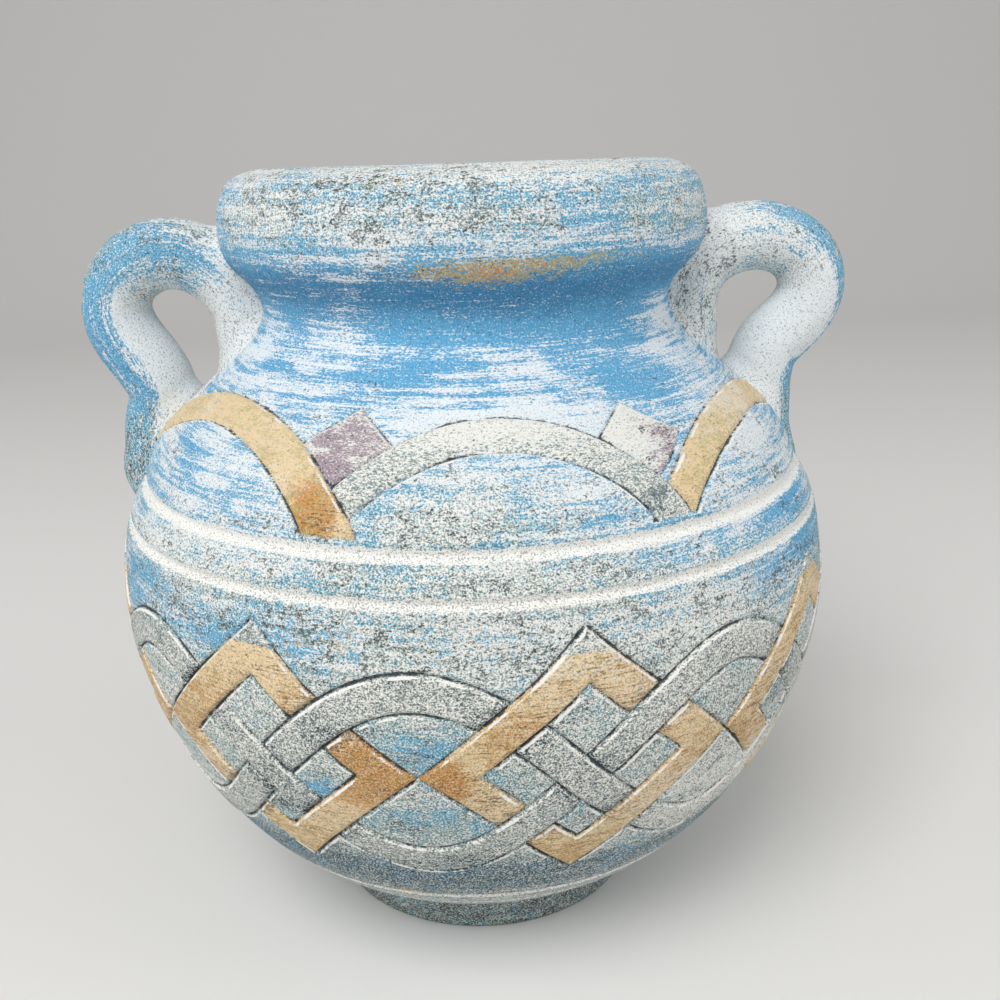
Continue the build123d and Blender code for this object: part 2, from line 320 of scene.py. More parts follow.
def turned(radius, level, azimuth):
    """(radius, height) turned about the jar's axis to an azimuth: radius sin, minus radius cos, height."""
    return np.stack(np.broadcast_arrays(radius * np.sin(azimuth), -radius * np.cos(azimuth), level), -1)


def brush_place(points, run):
    """Each point's place across the jar with the length along its outline, which the brush marks follow."""
    run = np.broadcast_to(run[:, None, None], points.shape[:2] + (1,))
    return np.concatenate([points[..., :2], run], -1)


def wavy(points, size, seed, waves=14):
    """A soft uneven value near -1 to 1: the sum of plane waves of about the given size."""
    draw = np.random.default_rng(seed)
    ways = draw.normal(size=(3, waves)) / size
    return np.sin(points @ ways + draw.uniform(0, 2 * math.pi, waves)).sum(-1) / math.sqrt(waves)


def soft_step(value, low, high):
    """Smooth rise from 0 at low to 1 at high: 3t squared less 2t cubed."""
    t = np.clip((value - low) / (high - low), 0, 1)
    return t * t * (3 - 2 * t)


def around(angle):
    """An angle brought to the half turn on either side of zero."""
    return (angle + math.pi) % (2 * math.pi) - math.pi


def patches(azimuth, level, places):
    """Sum of soft round patches: amount * exp(-(turn / half width)^2 - (rise / half height)^2)."""
    value = np.zeros(np.broadcast(azimuth, level).shape)
    for degrees, high, wide, tall, amount in places:
        off = around(azimuth - math.radians(degrees)) / math.radians(wide)
        value += amount * np.exp(-(off**2) - ((level - high * MM) / (tall * MM)) ** 2)
    return value


class Wall:
    """The jar's outer surface as one grid: rows up the outline, columns round the jar.

    Each point is the outline's (radius, height) turned to its azimuth, which is 0 at the front (-Y)
    and grows towards +X, and moved along the outline's normal by the carving's height."""

    columns = 1400

    def __init__(self, jar, cuts):
        self.jar, self.cuts = jar, cuts
        self.belly, self.upper, self.levels = outer_lines(jar)
        mouth = jar.neck_radius - jar.neck_wall
        mouth_round = (mouth, self.levels["crown"] - jar.mouth_round_drop)
        lip = arc_between(self.upper[-1], mouth_round, (-1, 0), (0, -1))
        self.outline = np.concatenate([self.belly, self.upper[1:], lip[1:]])
        self.hollow = hollow_line(jar, self.belly, self.upper, self.levels)
        self.rise = self.outline[:len(self.belly) + len(self.upper) - 1]
        self.crown_run = run_of(self.rise)[-1]
        self.links = FOOT_TOP + jar.bowl_rise - cuts.link_drop
        self.link_reach = cuts.link_height / 2 + 2 * MM
        self.runs = self.row_runs()
        line = read_line(self.outline, self.runs)
        self.radius, self.level = line[:, :1], line[:, 1:]
        way = directions(line, self.runs)
        self.out_radius, self.out_level = way[:, 1:], -way[:, :1]
        self.azimuth = (np.arange(self.columns) / self.columns * 2 * math.pi - 0.75 * math.pi)[None, :]
        self.fields = {}
        self.carve()
        self.raise_surface()

    def run_at(self, level):
        """Length along the outline at a height below the crown."""
        return float(np.interp(level, self.rise[:, 1], run_of(self.rise)))

    def row_runs(self):
        """Rows close together where the clay is carved, and wider apart where it is plain."""
        cuts, levels = self.cuts, self.levels
        low_ring = FOOT_TOP + cuts.low_ring_rise
        stops = [
            (FOOT_TOP, 1.0), (low_ring - 2 * MM, 0.35), (low_ring + cuts.ring_spacing + 2 * MM, 1.0),
            (self.links - self.link_reach, 0.46), (self.links + self.link_reach, 0.45),
            (levels["groove"], 0.55), (levels["top"], 0.9),
            (levels["waist"] + self.jar.collar_seam_rise, 0.8), (levels["crown"], 0.8)]
        runs = [np.array([0.0])]
        for (low, step), (high, _) in zip(stops, stops[1:]):
            start, end = self.run_at(low), self.run_at(high)
            runs.append(np.linspace(start, end, math.ceil((end - start) / (step * MM)) + 1)[1:])
        whole = run_of(self.outline)[-1]
        steps = math.ceil((whole - self.crown_run) / (0.8 * MM))
        runs.append(np.linspace(self.crown_run, whole, steps + 1)[1:])
        return np.concatenate(runs)

    def row_at(self, level):
        """The row that lies at a height on the outer side."""
        return int(np.argmin(abs(self.runs - self.run_at(level))))

    def rows_between(self, low, high):
        """The rows from one height to another."""
        return np.arange(self.row_at(low), self.row_at(high) + 1)

    def column_at(self, azimuth):
        """The column that lies at an azimuth."""
        return int(np.argmin(abs(around(self.azimuth[0] - azimuth))))

    def measured(self, field, rows):
        """A field divided by its own steepness on the surface, so that near zero it is a real distance."""
        across = (np.roll(field, -1, 1) - np.roll(field, 1, 1)) / (
            4 * math.pi / self.columns * self.radius[rows])
        up = np.gradient(field, self.runs[rows], axis=0)
        return field / np.maximum(np.hypot(across, up), 1e-6)

    def interlace(self, rows):
        """Linked squares and two waving strands, as distances from their edges, negative inside.

        A square's edge is where |u|/half width + |v|/half height is 1, and a strand's middle is
        v = swing * sin(pi u / pitch). The rising strand lies over the square's sides, the square over
        the falling strand, and the falling strand over the rising one."""
        cuts = self.cuts
        mean_radius = np.interp(self.links, self.belly[:, 1], self.belly[:, 0])
        pitch = 2 * math.pi * mean_radius / cuts.link_count
        across = around(self.azimuth - cuts.link_turn) * mean_radius + self.hand(rows, "links across")
        up = self.level[rows] - self.links + self.hand(rows, "links up")
        near = across - np.round(across / pitch) * pitch
        half_width, half_height = pitch / 2, cuts.link_height / 2
        scale = half_width * half_height / math.hypot(half_width, half_height)
        square = (abs(near) / half_width + abs(up) / half_height - 1) * scale
        square = np.maximum(square, -cuts.ribbon_width - square)
        strands = []
        for side in (1, -1):
            wave = math.pi / pitch
            foot = across
            for _ in range(4):
                rise = side * cuts.strand_swing * np.sin(wave * foot) - cuts.strand_drop
                slope = side * cuts.strand_swing * wave * np.cos(wave * foot)
                bend = -side * cuts.strand_swing * wave**2 * np.sin(wave * foot)
                miss = rise - up
                step = (foot - across + miss * slope) / np.maximum(1 + slope**2 + miss * bend, 0.5)
                foot = foot - np.clip(step, -2 * MM, 2 * MM)
            rise = side * cuts.strand_swing * np.sin(wave * foot) - cuts.strand_drop
            strands.append(np.hypot(across - foot, up - rise) - cuts.ribbon_width / 2)
        even = np.cos(math.pi * across / pitch) > 0
        square = self.measured(square, rows)
        strands = [self.measured(strand, rows) for strand in strands]
        rising = np.where(even, strands[0], strands[1])
        falling = np.where(even, strands[1], strands[0])
        lines = [(rising, falling), (falling, square), (square, rising)]
        line = np.minimum.reduce([np.maximum(abs(under), -over) for under, over in lines])
        dip = sum(
            np.exp(-((np.maximum(over, 0) / DIP_REACH) ** 2)) * (under < 0) * (over > 0)
            for under, over in lines)
        bare_tip = up - (half_height - 6 * MM)
        shown = np.maximum(square, -rising)
        grey = np.minimum.reduce([rising, np.maximum(falling, -square), np.maximum(shown, -bare_tip)])
        return {"line": line, "tan": np.maximum(shown, bare_tip), "grey": grey, "dip": dip}

    def hand(self, rows, work):
        """The unsteadiness of the hand at one kind of work, on the surface, in metres."""
        size, seed, amount = HAND[work]
        azimuth = self.azimuth
        radius, level = self.radius[rows], self.level[rows]
        spots = np.stack(np.broadcast_arrays(radius * np.sin(azimuth), radius * np.cos(azimuth), level), -1)
        return wavy(spots, size, seed) * amount

    def arches(self, rows):
        """Arched bands round the shoulder with square tabs behind them, as distances from their edges.

        An arch's edge is an ellipse about a point on a level below the upper groove. Each arch lies over
        the next one to its right, and the tabs lie under both."""
        level = self.level[rows] + self.hand(rows, "arches up")
        azimuth = self.azimuth + self.hand(rows, "arches across") / self.radius[rows]
        low = self.levels["groove"] - ARCH_SINK
        edges = []
        for degrees, half_span, crown, inner_span, inner_crown, _ in ARCHES:
            off = around(azimuth - math.radians(degrees))
            rings = []
            for span, high in ((half_span, crown), (inner_span, inner_crown)):
                ring = np.hypot(off / math.radians(span), (level - low) / (high * MM - low)) - 1
                rings.append(self.measured(ring, rows))
            edges.append(rings)
        bands = [np.maximum(outer, -inner) for outer, inner in edges]
        ground = self.levels["groove"] + 3.2 * MM - level
        line = np.full(bands[0].shape, FAR)
        found = {"tan": line.copy(), "grey": line.copy(), "mauve": line.copy()}
        for place, (band, (outer, inner)) in enumerate(zip(bands, edges)):
            over = bands[place - 1]
            both = np.minimum(abs(outer), abs(inner))
            line = np.minimum(line, np.maximum.reduce([both, -over, ground, band - 1 * MM]))
            kind = ARCHES[place][5]
            found[kind] = np.minimum(found[kind], np.maximum.reduce([band, -over, ground]))
        for place, (degrees, high, wide, tall) in enumerate(TABS):
            off = around(azimuth - math.radians(degrees)) / math.radians(wide)
            tab = self.measured(abs(off) + abs(level - high * MM) / (tall * MM) - 1, rows)
            hidden = np.minimum.reduce([outer for outer, _ in edges])
            line = np.minimum(line, np.maximum(abs(tab), -hidden))
            found["mauve"] = np.minimum(found["mauve"], np.maximum(tab, -hidden))
        return dict(found, line=line)

    def carve(self):
        """Fill the fields that the carving and the paint follow, and the height of the carving."""
        cuts, levels = self.cuts, self.levels
        shape = (len(self.runs), self.columns)
        fields = {name: np.full(shape, FAR) for name in ("line", "tan", "grey", "mauve", "groove")}
        fields["warm"] = np.zeros(shape)
        height = np.zeros(shape)
        rows = self.rows_between(self.links - self.link_reach, self.links + self.link_reach)
        lace = self.interlace(rows)
        for name in ("line", "tan", "grey"):
            fields[name][rows] = lace[name]
        height[rows] -= DIP_DEPTH * lace["dip"]
        smudge = np.zeros(shape)
        smudge[rows] = DIP_WASH * lace["dip"]
        fields["warm"][rows] = patches(self.azimuth, self.level[rows], LINK_STAINS)
        rows = self.rows_between(levels["groove"], levels["top"])
        for name, value in self.arches(rows).items():
            fields[name][rows] = value
        fields["line"][rows] += 0.05 * MM
        fields["warm"][rows] = patches(self.azimuth, self.level[rows], ARCH_STAINS)
        ribbon = np.minimum(fields["tan"], fields["grey"])
        height += cuts.ribbon_relief * soft_step(-ribbon, *RIBBON_EDGE)
        height += 0.5 * cuts.ribbon_relief * soft_step(-fields["mauve"], *TAB_EDGE)
        height -= cuts.line_depth * np.exp(-((fields["line"] / LINE_HALF) ** 2))
        # The burr is raised and painted white only below a line, where the groove's lower wall catches the
        # light: partly real burr, partly painted highlight
        below = soft_step(-np.gradient(fields["line"], self.runs, axis=0), 0.05, 0.45)
        fields["burr_and_highlight"] = abs(fields["line"] - BURR_AND_HIGHLIGHT_PLACE) + 2 * BURR_AND_HIGHLIGHT_PLACE * (1 - below)
        height += BURR_RISE * np.exp(-((fields["burr_and_highlight"] / BURR_HALF) ** 2))
        rising = (self.runs <= self.crown_run)[:, None]
        low_ring = FOOT_TOP + cuts.low_ring_rise
        grooves = [
            (levels["groove"], cuts.groove_width, cuts.groove_depth, 0.0),
            (levels["groove"] - cuts.groove_spacing, 0.85 * cuts.groove_width, cuts.groove_depth, 0.0),
            (low_ring, 0.8 * cuts.ring_width, cuts.ring_depth, 0.3 * MM),
            (low_ring + cuts.ring_spacing, cuts.ring_width, cuts.ring_depth, 0.7 * MM)]
        for place, width, depth, spilt in grooves:
            off = self.runs[:, None] - self.run_at(place) + self.hand(slice(None), "grooves")
            height -= depth * np.clip(1 - (2 * off / width) ** 2, 0, 1) * rising
            fields["groove"] = np.minimum(fields["groove"], abs(off) - width / 2 - spilt)
        (azimuth, level, radius), (half, rise, rub) = BLISTER, BLISTER_RIM
        off = np.hypot(around(self.azimuth - azimuth) * self.radius, self.level - level) - radius
        ring = np.exp(-((off / half) ** 2)) * rising
        self.height = height + rise * ring
        for name, (base, places) in WEAR_AND_SHADE.items():
            fields[name] = base + patches(self.azimuth, self.level, places)
        fields["rub"] += rub * ring
        fields["grime"] = np.clip(fields["grime"], 0, 1)
        fields["pepper"] += smudge
        self.fields = fields

    def raise_surface(self):
        """Place the grid's points, and find their normals."""
        thrown = self.hand(slice(None), "throwing") + self.hand(slice(None), "fingers")
        height = self.height + thrown * soft_step(self.runs, 0, 8 * MM)[:, None] - SKIN_INSET
        height -= LIP_INSET * soft_step(self.level, LIP_TOP - 8 * MM, LIP_TOP)
        radius = self.radius + self.out_radius * height
        level = self.level + self.out_level * height
        self.points = turned(radius, level, self.azimuth)
        self.normals = grid_normals(self.points)

    def section(self, name, low_row, high_row, hollow_levels, first=0, count=None, step=1):
        """A closed piece of the wall between two rows, with the hollow's side behind it."""
        count = self.columns if count is None else count
        whole = count == self.columns
        columns = np.arange(first, first + count + (0 if whole else 1), step) % self.columns
        rows = slice(low_row, high_row + 1)
        outer, normals = self.points[rows][:, columns], self.normals[rows][:, columns]
        start, end = (
            run_of(self.hollow)[np.argmin(abs(self.hollow[:, 1] - level))] for level in hollow_levels)
        back = np.linspace(start, end, max(4, math.ceil((end - start) / HOLLOW_STEP)) + 1)
        inner = read_line(self.hollow, back)
        azimuth = self.azimuth[:, columns]
        behind = turned(inner[:, :1], inner[:, 1:], azimuth)
        way = directions(inner)
        facing = turned(way[:, 1:], -way[:, :1], azimuth)
        fields = {}
        for key, value in self.fields.items():
            fill = INSIDE_FIELDS.get(key, FAR)
            fields[key] = np.concatenate([value[rows][:, columns], np.full(behind.shape[:2], fill)])
        run = np.concatenate([self.runs[rows], self.runs[high_row] + back - start])
        points = np.concatenate([outer, behind])
        fields["turning"] = brush_place(points, run)
        return grid_piece(name, points, np.concatenate([normals, facing]), fields, loop=True, whole=whole)


# Unsteadiness of the hand at each kind of work: size of its waves, seed of the draw, amount
HAND = {
    "throwing": (45 * MM, 1, 0.22 * MM), "fingers": (9 * MM, 2, 0.05 * MM),
    "grooves": (30 * MM, 8, 0.12 * MM),
    "links across": (17 * MM, 3, 0.45 * MM), "links up": (21 * MM, 4, 0.45 * MM),
    "arches across": (19 * MM, 7, 0.5 * MM), "arches up": (15 * MM, 6, 0.4 * MM)}
# Arches: (degrees round, half span in degrees, crown height, the same two inside the band, kind of paint)
ARCH_SINK = 4 * MM
ARCHES = (
    (-55.5, 40, 157.3, 31.5, 151.2, "tan"),
    (3.5, 30.7, 156.6, 24.5, 150.4, "grey"),
    (64, 39, 154, 31.5, 147.8, "tan"),
    (124.5, 30.7, 156.6, 24.5, 150.4, "grey"),
    (184.5, 39.5, 156.6, 31.5, 150.4, "tan"),
    (244.5, 30.7, 156.6, 24.5, 150.4, "grey"))
# Tabs: (degrees round, height of the middle, half width in degrees, half height)
TABS = (
    (-21.3, 150.8, 9, 7.3), (30.2, 149.8, 9, 7), (94.5, 150.5, 9, 7.2),
    (154.5, 150.5, 9, 7.2), (214.5, 150.5, 9, 7.2), (274.5, 150.5, 9, 7.2))
# A blister in the slip: its azimuth, height and radius, and its rim's half width, rise and rub
BLISTER = (math.radians(34.3), 125 * MM, 1.5 * MM)
BLISTER_RIM = (0.5 * MM, 0.3 * MM, 0.3)
# Soft patches, each as (degrees round, height, half width in degrees, half height, amount);
# heights here and in the tables above are millimetres.
# Ochre on the arches and on the links
ARCH_STAINS = (
    (-24, 138, 5, 7, 1), (-52, 153, 12, 5, 0.15), (-21, 151, 5, 5, 0.22), (26, 150, 4, 9, -0.25),
    (33, 139, 5, 6, 0.3), (60, 150, 10, 8, -0.2), (95, 138, 6, 6, 0.7), (152, 139, 6, 6, 0.7),
    (216, 139, 6, 6, 0.7))
LINK_STAINS = (
    (-14, 82, 9, 13, 1), (-38, 90, 9, 8, 0.35), (-33, 106, 8, 6, 0.15), (-30, 50, 10, 8, 0.2),
    (-5, 80, 4, 6, 0.75), (4, 93, 4, 5, 0.45), (27, 74, 10, 14, 0.15), (-70, 80, 12, 16, 0.5),
    (52, 92, 8, 12, 0.1), (80, 82, 12, 14, 0.7), (112, 70, 14, 14, 0.4), (150, 84, 14, 14, 0.8),
    (186, 74, 12, 14, 0.4), (222, 84, 12, 14, 0.7), (256, 78, 12, 14, 0.4))
# The paint's wear, and painted shade low on the bowl: a level everywhere, and the soft patches that are
# added to it
WEAR_AND_SHADE = {
    # How far the off-white is rubbed over the colour below
    "rub": (0.52, (
        (0, 183, 400, 7, -0.44), (-38, 184, 24, 4, 0.18), (-25, 200, 42, 8, 0.1),
        (38, 199, 18, 10, -0.04), (0, 210, 400, 2.6, 0.24), (22, 174, 20, 7, -0.2),
        (-62, 172, 10, 8, 0.26), (64, 170, 12, 8, 0.24), (3, 154.5, 24, 4, 0.34), (35, 162, 12, 4, -0.2),
        (58, 150, 9, 8, 0.2), (-52, 143, 14, 7, 0.02), (64, 143, 16, 7, 0.04), (-62, 112, 16, 10, -0.06),
        (-40, 108, 12, 6, -0.06), (-22, 112, 9, 7, -0.08), (-8, 88, 9, 7, -0.3), (-8, 66, 9, 6, -0.3),
        (24, 112, 36, 9, 0.2), (0, 126, 400, 4, 0.08), (-23, 76, 4, 5, -0.3), (54, 128, 14, 4, -0.16),
        (34, 66, 10, 8, 0.14), (26, 50, 12, 8, 0.22), (0, 148, 400, 8, 0.06), (58, 118, 14, 7, -0.26),
        (0, 45, 400, 9, -0.36), (50, 58, 26, 14, 0.3), (-70, 56, 26, 14, 0.16), (180, 110, 60, 16, 0.08),
        (0, 12, 400, 12, -0.1))),
    # How far the sanding has mixed all coats into a grey grain
    "grime": (0, (
        (0, 201, 400, 9, 0.68), (0, 85, 400, 45, 1), (0, 24, 400, 26, 0.8), (0, 210, 400, 2.5, 0.4),
        (-4, 138, 20, 10, 0.5), (0, 124, 60, 6, 0.35), (-40, 109, 12, 6, -0.4), (-22, 112, 8, 6, -0.4),
        (-8, 88, 6, 6, -0.55), (-8, 68, 7, 5, -0.3), (-22, 74, 4, 4, -0.7), (-62, 108, 12, 12, -0.4),
        (56, 116, 14, 7, -0.4), (32, 126, 9, 4, -0.3), (56, 128, 14, 4, -0.5), (-66, 202, 9, 9, -0.3),
        (24, 200, 9, 6, -0.3), (48, 118, 10, 6, -0.3))),
    # How far dark wash sits in the pores
    "pepper": (0.36, (
        (-12, 200, 50, 9, 0.15), (0, 181, 400, 10, -0.24), (0, 40, 400, 16, 0.08),
        (38, 201, 20, 9, -0.05), (-8, 137, 16, 6, 0.12), (0, 112, 400, 12, 0.12), (0, 78, 400, 16, 0.08),
        (-45, 148, 26, 10, -0.1), (0, 166, 400, 8, -0.16), (180, 200, 80, 9, 0.12),
        (-18, 208, 26, 2.5, 0.16), (4, 126, 30, 4, 0.12), (3, 154.5, 26, 4, -0.2), (-23, 136, 3, 4, 0.25),
        (27, 138, 4, 4, 0.16), (-31, 66, 5, 7, 0.3), (-20, 92, 6, 4, 0.2), (-3, 52, 5, 4, 0.3),
        (1, 76, 4, 6, 0.18), (19, 66, 4, 5, 0.26), (48, 84, 7, 6, 0.22))),
    # Where olive and bare clay show in small chips
    "fleck": (0, (
        (4, 188, 22, 4.2, 0.74), (30, 190, 16, 1.6, 0.4), (-20, 207.5, 30, 2.6, 0.48),
        (-40, 114, 26, 9, 0.26), (-12, 112, 22, 8, 0.2), (-24, 126, 30, 4, 0.24), (14, 116, 50, 12, 0.16),
        (-15.5, 34, 4, 2, 0.9), (160, 187, 22, 3.4, 0.6), (200, 112, 60, 9, 0.26), (0, 80, 400, 20, 0.06))),
    # How far the deep blue and the steel blue show: uneven paint, and low on the bowl and foot painted shade
    "shade": (0.17, (
        (0, 184, 400, 6, 0.5), (0, 160, 400, 9, -0.1), (0, 42, 400, 12, 0.85), (0, 14, 400, 12, 0.45),
        (0, 72, 400, 20, 0.08), (30, 174, 40, 7, 0.1), (-8, 78, 10, 12, 0.16), (50, 54, 24, 12, -0.25))),
}
# The paint's fields inside the jar, and the distances where nothing is carved near
INSIDE_FIELDS = {"warm": 0.0, "rub": 0.1, "grime": 0.2, "pepper": 0.35, "fleck": 0.0, "shade": 0.4}
DISTANCES = ("line", "burr_and_highlight", "tan", "grey", "mauve", "groove")
PLAIN = dict.fromkeys(DISTANCES, FAR)


def grid_piece(name, points, normals, fields, loop, whole, caps=False):
    """Put a grid of points into a mesh, row by row, with its normals and named fields.

    loop closes the rows into a ring, whole closes the columns round the jar, and open ends of a
    looped piece, or the first and last row of a capped one, are closed with one face each."""
    rows, columns = points.shape[:2]
    index = np.arange(rows * columns).reshape(rows, columns)
    low = index if loop else index[:-1]
    high = np.roll(index, -1, 0) if loop else index[1:]
    if whole:
        quads = np.stack([low, np.roll(low, -1, 1), np.roll(high, -1, 1), high], -1).reshape(-1, 4)
        ends = [index[0][::-1], index[-1]] if caps else []
    else:
        quads = np.stack([low[:, :-1], low[:, 1:], high[:, 1:], high[:, :-1]], -1).reshape(-1, 4)
        ends = [index[:, 0], index[:, -1][::-1]]
    corners = np.concatenate([quads.ravel(), *ends]).astype(np.int32)
    totals = np.concatenate([np.full(len(quads), 4), [len(end) for end in ends]]).astype(np.int32)
    starts = np.concatenate([[0], np.cumsum(totals)[:-1]]).astype(np.int32)
    mesh = bpy.data.meshes.new(name)
    mesh.vertices.add(rows * columns)
    mesh.vertices.foreach_set("co", points.astype(np.float32).ravel())
    mesh.loops.add(len(corners))
    mesh.loops.foreach_set("vertex_index", corners)
    mesh.polygons.add(len(totals))
    mesh.polygons.foreach_set("loop_start", starts)
    mesh.update(calc_edges=True)
    for key, value in fields.items():
        vector = value.ndim == 3
        layer = mesh.attributes.new(key, "FLOAT_VECTOR" if vector else "FLOAT", "POINT")
        scale = 1 if vector or key in INSIDE_FIELDS else 1 / MM
        layer.data.foreach_set("vector" if vector else "value", (value * scale).astype(np.float32).ravel())
    mesh.normals_split_custom_set_from_vertices(normals.reshape(-1, 3))
    piece = bpy.data.objects.new(name, mesh)
    bpy.context.scene.collection.objects.link(piece)
    return piece


def turned_piece(name, line, columns, fields):
    """A solid turned from a line of (radius, height) points, with a flat face over each open end."""
    azimuth = (np.arange(columns) / columns * 2 * math.pi)[None, :]
    points = turned(line[:, :1], line[:, 1:], azimuth)
    way = directions(line)
    normals = turned(way[:, 1:], -way[:, :1], azimuth)
    filled = {key: np.full(points.shape[:2], value) for key, value in fields.items()}
    filled["turning"] = brush_place(points, run_of(line))
    return grid_piece(name, points, normals, filled, loop=False, whole=True, caps=True)


def add_node(tree, kind, links=None, **settings):
    """Add a node with its own settings, and give its inputs values or join them to other nodes' outputs.

    A colour is given as three numbers, and is made opaque here."""
    node = tree.nodes.new(kind)
    for key, value in settings.items():
        setattr(node, key, value)
    for key, value in (links or {}).items():
        if isinstance(value, bpy.types.Node):
            value = next(output for output in value.outputs if output.enabled)
        if isinstance(value, bpy.types.NodeSocket):
            tree.links.new(value, node.inputs[key])
        else:
            colour_input = node.inputs[key].type == "RGBA"
            node.inputs[key].default_value = (*value, 1.0) if colour_input else value
    return node


# Patterns in the paint: size round the jar and size up its outline in millimetres, detail, roughness.
# Real grit is about 0.2 mm, too fine to show in the render, so grit and grain are drawn coarser.
PATTERNS = {
    "cloud": (26, 18, 3, 0.6), "blotch": (8, 5.5, 4, 0.6), "brush": (34, 1.7, 4, 0.7),
    "scratch": (7, 0.4, 2, 0.6), "crumb": (2.8, 1.8, 3, 0.7), "pore": (1.1, 0.6, 3, 0.75),
    "grit": (0.8, 0.42, 2, 0.6), "grain": (0.42, 0.42, 1, 0.5)}


def paint_sources(tree):
    """The mesh's own fields by name, and uneven grain of each pattern's real size."""
    source = {
        name: add_node(tree, "ShaderNodeAttribute", attribute_name=name).outputs["Fac"]
        for name in (*DISTANCES, *INSIDE_FIELDS)}
    spot = add_node(tree, "ShaderNodeTexCoord").outputs["Object"]
    turning = add_node(tree, "ShaderNodeAttribute", attribute_name="turning").outputs["Vector"]
    for name, (wide, tall, detail, roughness) in PATTERNS.items():
        place = add_node(tree, "ShaderNodeMapping", {
            "Vector": spot if name == "grain" else turning,
            "Scale": [1 / (size * MM) for size in (wide, wide, tall)]})
        source[name] = add_node(tree, "ShaderNodeTexNoise", {
            "Vector": place, "Scale": 1.0, "Detail": detail, "Roughness": roughness})
    return source


def summed(tree, source, start, weights):
    """A starting value or field, plus each named pattern or field times its weight.

    A field counts as it is, and a pattern from its middle value."""
    value = source.get(start, start)
    for name, weight in weights.items():
        term = source[name]
        if name in PATTERNS:
            term = add_node(tree, "ShaderNodeMath", {0: term, 1: 0.5}, operation="SUBTRACT")
        value = add_node(tree, "ShaderNodeMath", {0: term, 1: weight, 2: value}, operation="MULTIPLY_ADD")
    return value


def coats(tree, source, ground, *layers):
    """Coats one over the other: each has a colour, the start and weights that its cover is summed from,
    the values of that sum where the coat begins and where it is full, and how far it then hides the rest."""
    for paint, start, weights, low, high, strength in layers:
        cover = add_node(tree, "ShaderNodeMapRange", {
            "Value": summed(tree, source, start, weights), "From Min": low, "From Max": high,
            "To Max": strength}, interpolation_type="SMOOTHSTEP")
        ground = add_node(tree, "ShaderNodeMix", {"Factor": cover, 6: ground, 7: paint}, data_type="RGBA")
    return ground


